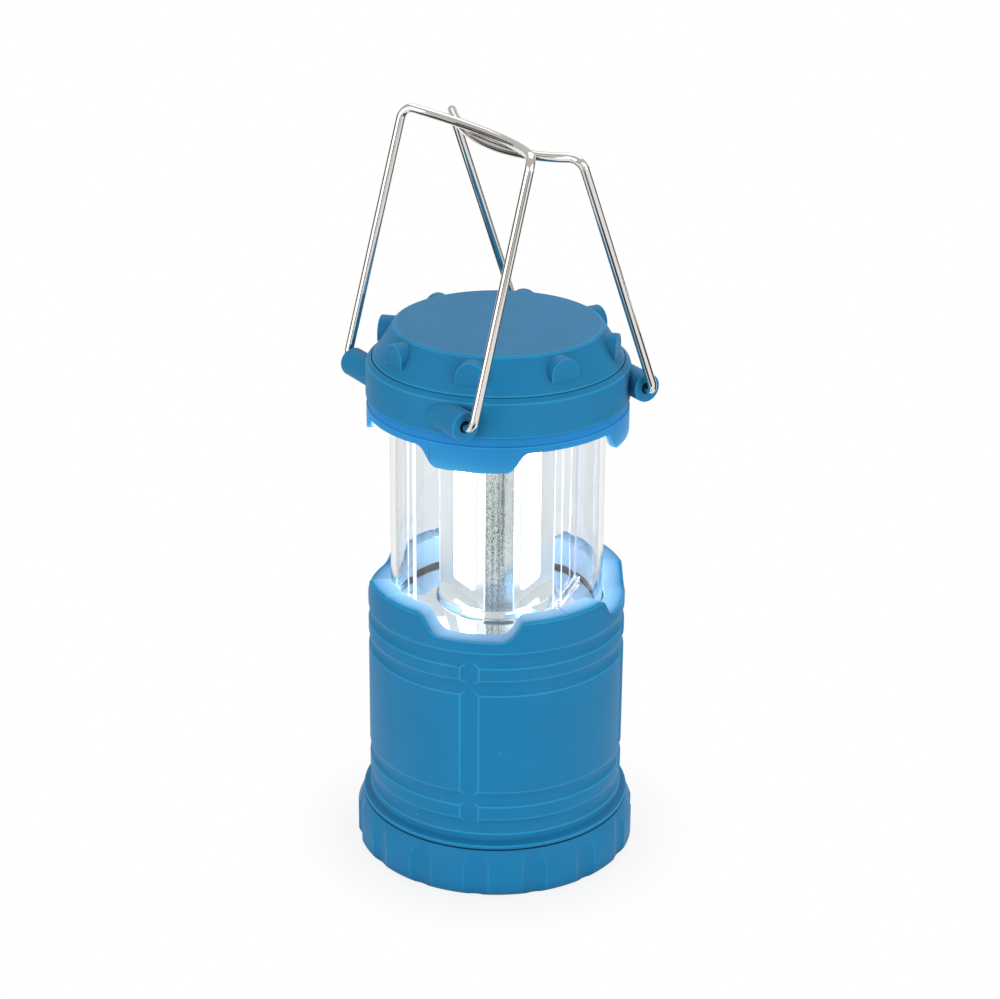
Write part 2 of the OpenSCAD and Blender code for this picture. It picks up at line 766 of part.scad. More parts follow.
module cap_top() color("#2f7fb3") {
  skin = 1.9;
  spigot_r = ring_in - seat;
  spigot_in = spigot_r - 1.4;
  difference() {
    union() {
      rotate_extrude() polygon([[0, cap_seat], [cap_r, cap_seat], [cap_r, cap_z],
        [cap_top_r + 0.3, cap_top_z - 0.4], [cap_top_r - 0.4, cap_top_z], [0, cap_top_z]]);
      ring(spigot_r, spigot_in - over, snap_z - 1.2, cap_seat + e);
      around(4, 45) ring_slice(8, cap_r, spigot_in, snap_z, snap_z + 1);
      around(grips) translate([cap_top_r - 8, 0, grip_z]) rotate([90, 0, 90])
        linear_extrude(height = grip_face - cap_top_r + 8) grip_plan(grip_half);
    }
    // inside of the dome
    rotate_extrude() polygon([[0, snap_z - over], [spigot_in, snap_z - over],
      [spigot_in, cap_z], [cap_top_r - skin, cap_top_z - skin], [0, cap_top_z - skin]]);
    around(grips) translate([cap_top_r - 9, 0, grip_z + skin / 2]) rotate([90, 0, 90])
      linear_extrude(height = grip_face - skin - cap_top_r + 9) grip_plan(grip_half - skin);
  }
}

// ---- handles --------------------------------------------------------------------------------

hinge_bend = 3.2;
bar_bend = 4;
tail = ear_hole - 1.6; // length of wire inside an ear

// wire bent round a centre at the origin, from its -x side up towards +z; its ends run a
// little way into the straights
module bend(radius, angle) {
  lap = 1;
  rotate([90, 0, 0]) rotate([0, 0, 180 - angle - lap]) rotate_extrude(angle = angle + 2 * lap)
    translate([radius, 0]) circle(r = wire_r - e);
}

// bent wire in its own frame: hinge on X, legs up +Z, crossbar bowed towards +Y
module handle() {
  lean = atan((leg_x - bar_x) / (handle_h - hinge_bend - bar_bend));
  leg = (handle_h - hinge_bend * (1 + sin(lean)) - bar_bend) / cos(lean);
  foot = [leg_x - hinge_bend * (1 - cos(lean)), 0, hinge_bend * (1 + sin(lean))];
  // the crossbar's direction at its end, seen in the frame of the leaning leg
  turn = 180 - atan(tan(bow_deg) / cos(lean));
  knee = 90 - asin(sin(lean) * cos(bow_deg));
  out = bar_bend * (1 - cos(knee)) * [cos(turn), sin(turn)];
  up = leg + bar_bend * sin(knee);
  end = foot + [out[0] * cos(lean) - up * sin(lean), out[1],
                out[0] * sin(lean) + up * cos(lean)];
  bow_r = end[0] / sin(bow_deg);
  for (s = [0, 1]) mirror([s, 0, 0]) {
    translate([ear_face - tail, 0, 0]) rotate([0, 90, 0])
      cylinder(r = wire_r, h = leg_x - hinge_bend - ear_face + tail);
    translate([leg_x - hinge_bend, 0, hinge_bend]) rotate([0, 180 - lean, 0])
      bend(hinge_bend, 90 + lean);
    translate(foot) rotate([0, -lean, 0]) {
      cylinder(r = wire_r, h = leg);
      translate([0, 0, leg]) rotate([0, 0, turn]) translate([bar_bend, 0, 0])
        bend(bar_bend, knee);
    }
  }
  translate([0, end[1] - bow_r * cos(bow_deg), end[2]]) rotate([0, 0, 90 - bow_deg])
    rotate_extrude(angle = 2 * bow_deg) translate([bow_r, 0]) circle(r = wire_r);
}

module handle_a() color("#c9cdd1")
  translate([0, -hinge_y, hinge_z]) rotate([-lean_a, 0, 0]) handle();

module handle_b() color("#c9cdd1")
  translate([0, hinge_y, hinge_z]) rotate([lean_b, 0, 0]) rotate([0, 0, 180]) handle();

base_cover();
body_shell();
battery_tray();
tray_screws();
cell_1();
cell_2();
cell_3();
cell_links();
cell_terminals();
contact_rails();
carrier();
carrier_screws();
wiper_contacts();
floor_mirror();
wire_cover();
column_foot();
reflector_1();
reflector_2();
reflector_3();
led_board_1();
led_board_2();
led_board_3();
led_strip_1();
led_strip_2();
led_strip_3();
globe();
head_plate();
head_screws();
driver_board();
cap_skirt();
cap_ring();
cap_top();
handle_a();
handle_b();
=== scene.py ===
import json
import math

import bmesh
import bpy
from mathutils import Matrix, Vector


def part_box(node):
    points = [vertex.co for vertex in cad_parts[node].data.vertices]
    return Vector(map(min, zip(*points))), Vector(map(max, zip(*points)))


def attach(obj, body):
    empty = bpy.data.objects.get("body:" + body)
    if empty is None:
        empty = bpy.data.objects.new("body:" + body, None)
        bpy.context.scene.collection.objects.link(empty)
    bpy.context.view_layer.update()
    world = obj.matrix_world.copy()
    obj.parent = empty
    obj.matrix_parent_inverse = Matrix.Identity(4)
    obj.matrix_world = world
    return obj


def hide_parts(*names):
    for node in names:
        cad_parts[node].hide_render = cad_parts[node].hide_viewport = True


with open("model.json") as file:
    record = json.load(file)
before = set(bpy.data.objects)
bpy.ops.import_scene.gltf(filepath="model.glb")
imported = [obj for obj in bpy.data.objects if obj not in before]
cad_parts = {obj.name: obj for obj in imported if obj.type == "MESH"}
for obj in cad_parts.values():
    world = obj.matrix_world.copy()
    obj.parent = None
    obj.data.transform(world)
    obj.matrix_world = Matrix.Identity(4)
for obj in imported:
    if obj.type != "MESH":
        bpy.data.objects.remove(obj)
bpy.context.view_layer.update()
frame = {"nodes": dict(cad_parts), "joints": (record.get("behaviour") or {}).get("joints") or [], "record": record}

bl_info = {
    "name": "Telescoping Camping Lantern",
    "version": (1, 0, 0),
    "blender": (4, 5, 0),
    "location": "View3D > Sidebar > Lantern",
    "description": "Dresses the packed lantern: soft blue mouldings, clear globe, silvered light "
                   "column, lit strips and plated wire handles, with a studio round them",
    "category": "Object",
}

# ---- reading the frame ----------------------------------------------------------------------

MM = 0.001
BODY_R = 40 * MM       # of the body, and of the tips of the skirt's tabs
STRIPS = (30.0, 150.0, 270.0)      # directions the lit strips face, from +X
HINGE_A = next(j for j in frame["joints"] if j["name"] == "handle_a_hinge")
HINGE_B = next(j for j in frame["joints"] if j["name"] == "handle_b_hinge")


def low(node):
    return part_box(node)[0]


def high(node):
    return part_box(node)[1]


# ---- fixed numbers --------------------------------------------------------------------------

MERGE = 0.025 * MM     # corners nearer than this are one; the exact build leaves 0.01 mm steps
FLAT_BEND = math.radians(0.5)      # faces that bend less than this are joined
EDGE_BEND = math.radians(25.0)     # edges that bend more are sharp, and the outer ones rounded
EDGE_STEPS = 3         # faces across a rounded edge
SKIN = 1.0 * MM        # depth of detail on an outer face
SEAM_HALF = 0.13 * MM  # half the width of a parting line or seam, wider than real so it shows
SEAM_ROOM = 1.5 * MM   # from a seam on a nose to the nearest rounded edge
WIRE_TAIL = 9.0 * MM   # straight wire inside each ear
RIM_WALL = 0.9 * MM    # from the body's side to where the rim starts to look lit
RIM_DEPTH = 6.8 * MM   # from the body's side to where it looks palest
RIM_HEIGHT = 10.05 * MM            # of the rim that the strips light
SKIRT_LIT = (1.2 * MM, 2.2 * MM)   # the same two for the skirt, from the tips of its tabs
CRACK = (18 * MM, 34 * MM)         # up a nose, where its seam turns from dark to bright
HAZE = 26 * MM         # up a nose, where the painted haze of the strips' light by the foot ends
LEVEL = (1.0, 1.0, 0.0)            # times a place drops its height

AZIMUTH = 57.7         # of the camera, in degrees from -Y towards +X
ELEVATION = 22.53      # of the camera, in degrees
ROLL = 0.443           # of the camera about its own axis, in degrees
TARGET = (0, 0, 0.11436)           # what it looks at
CAMERA_DISTANCE = 0.7717           # from there, in metres
LENS = 90.4            # in mm, on a sensor 36 mm wide
SHIFT_X = 0.0027       # of the view, in widths
LAMP_DISTANCE = 1.4    # from 0.1 m up on the axis
PANEL = (1.2, 0.02, 0.42)          # distance, foot and top of the standing cards, in metres
CARD_HEIGHT = 0.4 * MM             # of the lying cards over the floor
FLOOR_R = 3.0
SHADOW = (0.042, 0.075)            # from the axis, where the floor starts to fade and is white


def linear(code):
    """A colour written in sRGB hex, such as 2A7DB0, as linear RGBA."""
    channels = [int(code[i:i + 2], 16) / 255 for i in (0, 2, 4)]
    return [c / 12.92 if c <= 0.04045 else ((c + 0.055) / 1.055) ** 2.4 for c in channels] + [1]


def towards(azimuth, elevation):
    """Unit vector from the lantern: degrees from -Y towards +X, and degrees up."""
    side, up = math.radians(azimuth), math.radians(elevation)
    return Vector((math.sin(side) * math.cos(up), -math.cos(side) * math.cos(up),
                   math.sin(up)))


# ---- sizes and colours a user may change ----------------------------------------------------


def colour_prop(name, code, description):
    """A colour, its default in sRGB hex."""
    return bpy.props.FloatVectorProperty(name=name, description=description, size=3,
                                         subtype="COLOR", min=0.0, max=1.0,
                                         default=linear(code)[:3])


def length_prop(name, default, least, most, description):
    """A length, given in millimetres."""
    return bpy.props.FloatProperty(name=name, description=description, subtype="DISTANCE",
                                   unit="LENGTH", default=default * MM, min=least * MM,
                                   max=most * MM, precision=5)


def angle_prop(name, default, least, most, description):
    """An angle, its default in degrees and its limits in radians."""
    return bpy.props.FloatProperty(name=name, description=description, subtype="ANGLE",
                                   unit="ROTATION", default=math.radians(default), min=least,
                                   max=most)


class LanternMouldings(bpy.types.PropertyGroup):
    """Finish of the blue mouldings"""

    body_blue: colour_prop("Body blue", "0D78AA", "Colour of the body and base")
    head_blue: colour_prop("Head blue", "0F78A9", "Colour of the head ring and cap")
    # painted highlight: a paler blue on the rounded edges, for the light they catch
    highlight_blue: colour_prop("Edge blue", "1B8EC0", "Colour of the painted highlights on the edges")
    # painted light: the skirt glows by emission, standing in for the strips' light through its thin wall
    skirt_glow: colour_prop("Skirt glow", "24496C",
                            "Light of the strips that comes through the thin skirt")
    edge_round: length_prop("Edge round", 0.30, 0.05, 0.6, "Radius on the moulded edges")
    roughness: bpy.props.FloatProperty(
        name="Roughness", description="Roughness of the soft coat", subtype="FACTOR",
        default=0.58, min=0.0, max=1.0)


class LanternLight(bpy.types.PropertyGroup):
    """The lit strips and what is silvered round them"""

    strip_power: bpy.props.FloatProperty(
        name="Strip strength", description="Emission strength of each lit strip", default=16.0,
        min=0.0, max=200.0)
    strip_colour: colour_prop("Strip colour", "F7FDFF", "Colour of the light")
    silver: colour_prop("Silvering", "E5E7E7", "Colour of the metallised plastic")


class LanternWire(bpy.types.PropertyGroup):
    """The two wire handles"""

    nickel: colour_prop("Nickel", "E2DFDB", "Colour of the plated wire")
    diameter: length_prop("Diameter", 2.8, 1.0, 4.0, "Diameter of the wire")
    height: length_prop("Height", 79.06, 50, 90, "Hinge line to crossbar")
    foot_width: length_prop("Foot width", 36.5, 30, 40,
                            "Middle of the handle to a leg, at the hinge")
    bar_width: length_prop("Bar width", 35.4, 30, 40,
                           "Middle of the handle to a leg, at the crossbar")
    foot_bend: length_prop("Foot bend", 3.2, 2, 6, "Radius of the bend at the hinge")
    bar_bend: length_prop("Bar bend", 4.0, 2, 8, "Radius of the bend at the crossbar")
    bow: angle_prop("Bow", 25, 0.1, 0.6, "Angle of the crossbar's bow at its ends")
    lean_a: angle_prop("Lean of the upper handle", 14.5, 0.0, 0.5, "From upright, at rest")
    lean_b: angle_prop("Lean of the lower handle", 20.0, 0.0, 0.5, "From upright, at rest")
    steps: bpy.props.IntProperty(
        name="Steps", description="Steps round each bend", default=18, min=4, max=40)


# ---- materials ------------------------------------------------------------------------------


def add(tree, kind, links=(), at=None, **values):
    """Adds a node, sets its properties or sockets by name and those of at by number, and
    links (output, socket) pairs."""
    node = tree.nodes.new(kind)
    for name, value in values.items():
        if hasattr(node, name):
            setattr(node, name, value)
        else:
            node.inputs[name.replace("_", " ")].default_value = value
    for socket, value in (at or {}).items():
        node.inputs[socket].default_value = value
    for output, socket in links:
        tree.links.new(output, node.inputs[socket])
    return node


def blank(name):
    """A new material with an empty tree and its output node."""
    material = bpy.data.materials.new(name)
    material.use_nodes = True
    material.node_tree.nodes.clear()
    output = add(material.node_tree, "ShaderNodeOutputMaterial")
    return material, material.node_tree, output


def scaled(colour, *factors):
    """A linear colour times one factor, or times one for each channel, as RGBA."""
    each = factors * 3 if len(factors) == 1 else factors
    return [min(1.0, c * f) for c, f in zip(colour, each)] + [1.0]


def drawn_noise(tree, place, stretch, **noise):
    """Noise on a place whose Z counts only stretch times, so that it is drawn out upright."""
    drawn = add(tree, "ShaderNodeMapping", [(place, "Vector")], Scale=(1.0, 1.0, stretch))
    return add(tree, "ShaderNodeTexNoise", [(drawn.outputs[0], "Vector")], **noise)


def any_ray(tree, rays, first, *others):
    """1 on rays of the kinds named, such as Camera, and 0 on all others."""
    seen = rays.outputs[f"Is {first} Ray"]
    for kind in others:
        seen = add(tree, "ShaderNodeMath", [(seen, 0), (rays.outputs[f"Is {kind} Ray"], 1)],
                   operation="MAXIMUM").outputs[0]
    return seen


def matt_card(name, code):
    """Matt card: one even tone for bright metal to show, with no shine of its own."""
    material, tree, output = blank(name)
    shader = add(tree, "ShaderNodeBsdfPrincipled", Base_Color=linear(code), Roughness=0.8)
    tree.links.new(shader.outputs[0], output.inputs[0])
    return material


def soft_coat(name, colour, roughness, glow=None, lit=None, seam=0.0):
    """Soft-touch coat on moulded ABS: a deep matt blue with a broad soft shine, fine grain,
    faint blotches, dust and a parting line.

    glow is painted light: an emission that stands in for the light of the strips that comes
    through a thin wall. lit is (outer radius, inner radius, colour, height): the painted light of
    the strips, a paler colour and a faint emission, on the faces that look in at them, from the
    one radius to the other, above that height. seam darkens the parting line."""
    material, tree, output = blank(name)
    place = add(tree, "ShaderNodeTexCoord").outputs["Object"]
    # uneven coat, in patches some 12 mm across
    patch = add(tree, "ShaderNodeTexNoise", [(place, "Vector")], Scale=80.0, Detail=3.0)
    base = add(tree, "ShaderNodeMix", [(patch.outputs[0], 0)],
               at={6: scaled(colour, 0.90), 7: scaled(colour, 1.08)},
               data_type="RGBA")
    # painted shade: the coat is darkened down in the grooves, where less light reaches
    sky = add(tree, "ShaderNodeAmbientOcclusion", Distance=5.0 * MM, samples=4)
    open_sky = add(tree, "ShaderNodeMapRange", [(sky.outputs["AO"], "Value")], From_Min=0.05,
                   From_Max=0.90)
    deep = add(tree, "ShaderNodeMix", [(open_sky.outputs[0], 0), (base.outputs[2], 7)],
               at={6: scaled(colour, 0.28)}, data_type="RGBA")
    # pale dust and dark specks, each about 0.3 mm across and some 8 mm apart
    dusty = deep.outputs[2]
    for size, few, tint in ((230.0, 0.955, "7FB4D2"), (190.0, 0.965, "124E74")):
        cells = add(tree, "ShaderNodeTexVoronoi", [(place, "Vector")], Scale=size)
        speck = add(tree, "ShaderNodeMath", [(cells.outputs["Distance"], 0)], at={1: 0.045},
                    operation="LESS_THAN")
        rare = add(tree, "ShaderNodeSeparateColor", [(cells.outputs["Color"], 0)])
        kept = add(tree, "ShaderNodeMath", [(rare.outputs[0], 0)], at={1: few},
                   operation="GREATER_THAN")
        both = add(tree, "ShaderNodeMath", [(speck.outputs[0], 0), (kept.outputs[0], 1)],
                   operation="MULTIPLY")
        layer = add(tree, "ShaderNodeMix", [(both.outputs[0], 0), (dusty, 6)],
                    at={7: linear(tint)}, data_type="RGBA")
        dusty = layer.outputs[2]
    # parting line of the two halves of the mould, where the surface crosses one upright plane
    split = add(tree, "ShaderNodeVectorMath", [(place, 0)], at={1: (1.0, 0.0175, 0.0)},
                operation="DOT_PRODUCT")
    off = add(tree, "ShaderNodeMath", [(split.outputs["Value"], 0)], operation="ABSOLUTE")
    line = add(tree, "ShaderNodeMath", [(off.outputs[0], 0)], at={1: SEAM_HALF},
               operation="LESS_THAN")
    parted = add(tree, "ShaderNodeMath", [(line.outputs[0], 0)], at={1: seam},
                 operation="MULTIPLY")
    seamed = add(tree, "ShaderNodeMix", [(parted.outputs[0], 0), (dusty, 6)],
                 at={7: linear("0D3E62")}, data_type="RGBA")
    shown = seamed.outputs[2]
    # painted light: the strips' light on the faces that look in at them, as a paler colour and a faint emission
    if lit:
        flat = add(tree, "ShaderNodeVectorMath", [(place, 0)], at={1: LEVEL},
                   operation="MULTIPLY")
        reach = add(tree, "ShaderNodeVectorMath", [(flat.outputs[0], 0)], operation="LENGTH")
        inward = add(tree, "ShaderNodeMapRange", [(reach.outputs["Value"], "Value")],
                     From_Min=lit[0], From_Max=lit[1])
        # less so on the level faces, which the light only grazes
        facing = add(tree, "ShaderNodeNewGeometry")
        lean = add(tree, "ShaderNodeSeparateXYZ", [(facing.outputs["True Normal"], 0)])
        level = add(tree, "ShaderNodeMath", [(lean.outputs["Z"], 0)], operation="ABSOLUTE")
        upright = add(tree, "ShaderNodeMapRange", [(level.outputs[0], "Value")], To_Min=1.0,
                      To_Max=0.62)
        quick = add(tree, "ShaderNodeMath", [(inward.outputs[0], 0)], at={1: 0.55},
                    operation="POWER")
        span = add(tree, "ShaderNodeSeparateXYZ", [(place, 0)])
        rim = add(tree, "ShaderNodeMath", [(span.outputs["Z"], 0)], at={1: lit[3]},
                  operation="GREATER_THAN")
        within = add(tree, "ShaderNodeMath", [(quick.outputs[0], 0), (rim.outputs[0], 1)],
                     operation="MULTIPLY")
        painted_strip_light = add(tree, "ShaderNodeMath", [(within.outputs[0], 0), (upright.outputs[0], 1)],
                     operation="MULTIPLY")
        steep = add(tree, "ShaderNodeMath", [(painted_strip_light.outputs[0], 0)], at={1: 5.0},
                    operation="POWER")
        shine = add(tree, "ShaderNodeMath", [(steep.outputs[0], 0)], at={1: 0.18},
                    operation="MULTIPLY")
        pale = add(tree, "ShaderNodeMix", [(painted_strip_light.outputs[0], 0), (shown, 6)],
                   at={7: linear(lit[2])}, data_type="RGBA")
        shown = pale.outputs[2]
    # grain of the coat, 0.15 mm, and the low ridge of the parting line
    grain = add(tree, "ShaderNodeTexNoise", [(place, "Vector")], Scale=6000.0, Detail=2.0)
    ridge = add(tree, "ShaderNodeMath", [(line.outputs[0], 0), (grain.outputs[0], 2)],
                at={1: 1.5 if seam else 0.0}, operation="MULTIPLY_ADD")
    bump = add(tree, "ShaderNodeBump", [(ridge.outputs[0], "Height")], Strength=0.06,
               Distance=0.0001)
    shader = add(tree, "ShaderNodeBsdfPrincipled",
                 [(shown, "Base Color"), (bump.outputs[0], "Normal")],
                 Roughness=roughness, IOR=1.5, Specular_IOR_Level=0.22, Sheen_Weight=0.12,
                 Sheen_Roughness=0.4)
    # the faint emission of the painted strip light
    if lit:
        shader.inputs["Emission Color"].default_value = linear(lit[2])
        tree.links.new(shine.outputs[0], shader.inputs["Emission Strength"])
    if glow:
        # painted glow of the strips' light through the wall: strongest at the lower edge, nearest the strips, and
        # bluer up at the neck
        height = add(tree, "ShaderNodeSeparateXYZ", [(place, 0)])
        rise = add(tree, "ShaderNodeMapRange", [(height.outputs["Z"], "Value")],
                   From_Min=low("cap_skirt")[2], From_Max=high("cap_skirt")[2])
        ramp = add(tree, "ShaderNodeValToRGB", [(rise.outputs[0], 0)])
        near, far = ramp.color_ramp.elements
        near.color = scaled(glow, 2.2, 2.2, 1.6)
        far.color = scaled(glow, 0.0, 0.35, 0.9)
        middle = ramp.color_ramp.elements.new(0.28)
        middle.color = [*glow, 1.0]
        tree.links.new(ramp.outputs[0], shader.inputs["Emission Color"])
        # and stronger in front of each strip
        flat = add(tree, "ShaderNodeVectorMath", [(place, 0)], at={1: LEVEL},
                   operation="MULTIPLY")
        aim = add(tree, "ShaderNodeVectorMath", [(flat.outputs[0], 0)], operation="NORMALIZE")
        nearest = None
        for direction in STRIPS:
            turn = math.radians(direction)
            facing = add(tree, "ShaderNodeVectorMath", [(aim.outputs[0], 0)],
                         at={1: (math.cos(turn), math.sin(turn), 0.0)}, operation="DOT_PRODUCT")
            nearest = add(tree, "ShaderNodeMath", [(facing.outputs["Value"], 0),
                                                   ((nearest or facing).outputs["Value"], 1)],
                          operation="MAXIMUM")
        power = add(tree, "ShaderNodeMapRange", [(nearest.outputs[0], "Value")], From_Min=0.5,
                    To_Min=0.75, To_Max=1.5)
        tree.links.new(power.outputs[0], shader.inputs["Emission Strength"])
    tree.links.new(shader.outputs[0], output.inputs[0])
    return material


def clear_styrene(name, tint, glow=0.0):
    """Clear moulded styrene: glassy, with hard clean highlights. Lamp light passes straight
    through its shadow. glow is painted light: an emission that stands in for the strips'
    light that runs along in the wall and leaves it at the edges."""
    material, tree, output = blank(name)
    place = add(tree, "ShaderNodeTexCoord").outputs["Object"]
    # hair scratches up and down, about 1 mm apart
    stretch = add(tree, "ShaderNodeMapping", [(place, "Vector")], Scale=(1.0, 1.0, 0.06),
                  Rotation=(0.05, 0.08, 0.0))
    hairs = add(tree, "ShaderNodeTexNoise", [(stretch.outputs[0], "Vector")], Scale=900.0,
                Detail=2.0)
    bump = add(tree, "ShaderNodeBump", [(hairs.outputs[0], "Height")], Strength=0.05,
               Distance=0.0001)
    glass = add(tree, "ShaderNodeBsdfPrincipled", [(bump.outputs[0], "Normal")],
                Base_Color=linear(tint), Roughness=0.0, IOR=1.5, Transmission_Weight=1.0,
                Emission_Color=linear("E4E6FF"), Emission_Strength=glow)
    through = add(tree, "ShaderNodeBsdfTransparent", Color=linear("F4F8FA"))
    rays = add(tree, "ShaderNodeLightPath")
    either = any_ray(tree, rays, "Shadow", "Diffuse")
    mix = add(tree, "ShaderNodeMixShader",
              [(either, 0), (glass.outputs[0], 1), (through.outputs[0], 2)])
    tree.links.new(mix.outputs[0], output.inputs[0])
    return material


def aged(name, code, roughness, metallic=0.0, patch=120.0, swing=0.10, lean=1.0,
         grain=0.0002, glow=0.0):
    """An even finish after some handling: its colour and gloss drift from patch to patch, and
    a grain 0.2 mm fine runs over it, so it never looks painted. patch is how many patches go
    into a metre, swing how far they stray, and lean under 1 draws the pattern out along Z."""
    material, tree, output = blank(name)
    place = add(tree, "ShaderNodeTexCoord").outputs["Object"]
    drawn = add(tree, "ShaderNodeMapping", [(place, "Vector")], Scale=(1.0, 1.0, lean))
    blotch = add(tree, "ShaderNodeTexNoise", [(drawn.outputs[0], "Vector")], Scale=patch,
                 Detail=4.0)
    colour = linear(code)
    tone = add(tree, "ShaderNodeMix", [(blotch.outputs[0], 0)], data_type="RGBA",
               at={6: scaled(colour, 1 - swing), 7: scaled(colour, 1 + swing)})
    gloss = add(tree, "ShaderNodeMapRange", [(blotch.outputs[0], "Value")], To_Min=roughness * 0.7,
                To_Max=min(1.0, roughness * 1.3))
    fine = add(tree, "ShaderNodeTexNoise", [(drawn.outputs[0], "Vector")], Scale=5000.0,
               Detail=2.0)
    bump = add(tree, "ShaderNodeBump", [(fine.outputs[0], "Height")], Strength=0.15,
               Distance=grain)
    # glow paints light on the finish, as an emission of its own colour
    shader = add(tree, "ShaderNodeBsdfPrincipled",
                 [(tone.outputs[2], "Base Color"), (gloss.outputs[0], "Roughness"),
                  (bump.outputs[0], "Normal")], Metallic=metallic, Emission_Color=colour,
                 Emission_Strength=glow)
    tree.links.new(shader.outputs[0], output.inputs[0])
    return material


def banded(name, material, node, steps):
    """Lays level bands of print over a finish: steps are (share of the node's height, hex)."""
    tree = material.node_tree
    material.name = name
    shader = next(n for n in tree.nodes if n.type == "BSDF_PRINCIPLED")
    place = add(tree, "ShaderNodeTexCoord").outputs["Object"]
    height = add(tree, "ShaderNodeSeparateXYZ", [(place, 0)])
    rise = add(tree, "ShaderNodeMapRange", [(height.outputs["Z"], "Value")], From_Min=low(node)[2],
               From_Max=high(node)[2])
    ramp = add(tree, "ShaderNodeValToRGB", [(rise.outputs[0], 0)])
    ramp.color_ramp.interpolation = "CONSTANT"
    while len(ramp.color_ramp.elements) < len(steps):
        ramp.color_ramp.elements.new(1.0)
    for element, (share, code) in zip(ramp.color_ramp.elements, steps):
        element.position, element.color = share, linear(code)
    old = shader.inputs["Base Color"].links[0].from_socket
    tint = add(tree, "ShaderNodeMix", [(old, 6), (ramp.outputs[0], 7)], at={0: 1.0},
               data_type="RGBA", blend_type="MULTIPLY")
    tree.links.new(tint.outputs[2], shader.inputs["Base Color"])
    return material


def solder_mask():
    """Green solder mask on a board: glossy, with paler copper tracks showing through."""
    material = aged("green_solder_mask", "2B6E48", 0.35, patch=400.0)
    tree = material.node_tree
    shader = next(n for n in tree.nodes if n.type == "BSDF_PRINCIPLED")
    place = add(tree, "ShaderNodeTexCoord").outputs["Object"]
    tracks = add(tree, "ShaderNodeTexBrick", [(place, "Vector")], Scale=120.0,
                 Mortar_Size=0.03, Mortar_Smooth=0.1)
    old = shader.inputs["Base Color"].links[0].from_socket
    mix = add(tree, "ShaderNodeMix", [(tracks.outputs["Fac"], 0), (old, 6)],
              at={7: linear("5FA070")}, data_type="RGBA")
    tree.links.new(mix.outputs[2], shader.inputs["Base Color"])
    return material


def lit_strip(colour, strength):
    """Phosphor silicone over a row of dies, switched on: near white all over, with the dies as
    faint brighter rows 2 mm apart."""
    material, tree, output = blank("lit_strip")
    place = add(tree, "ShaderNodeTexCoord").outputs["Object"]
    rows = add(tree, "ShaderNodeTexWave", [(place, "Vector")], bands_direction="Z",
               Scale=160.0)
    power = add(tree, "ShaderNodeMapRange", [(rows.outputs["Fac"], "Value")],
                To_Min=strength * 0.9, To_Max=strength * 1.1)
    shader = add(tree, "ShaderNodeBsdfPrincipled", [(power.outputs[0], "Emission Strength")],
                 Base_Color=linear("F6EFC4"), Roughness=0.4, Emission_Color=[*colour, 1.0])
    tree.links.new(shader.outputs[0], output.inputs[0])
    return material


def silvered(name, colour, roughness, streak=0.0, glow=0.0):
    """Metallised ABS: a mirror a little softer than glass. streak adds the fine upright ripple
    of the plating, 0.7 mm wide, and glow paints the glare of the strips on it, as emission."""
    material, tree, output = blank(name)
    shader = add(tree, "ShaderNodeBsdfPrincipled", Base_Color=[*colour, 1.0], Metallic=1.0,
                 Roughness=roughness, Emission_Color=linear("FAFCFF"), Emission_Strength=glow)
    if streak:
        place = add(tree, "ShaderNodeTexCoord").outputs["Object"]
        lines = drawn_noise(tree, place, 0.12, Scale=1400.0, Detail=4.0)
        bump = add(tree, "ShaderNodeBump", [(lines.outputs[0], "Height")], Strength=streak,
                   Distance=0.0003)
        tree.links.new(bump.outputs[0], shader.inputs["Normal"])
    tree.links.new(shader.outputs[0], output.inputs[0])
    return material


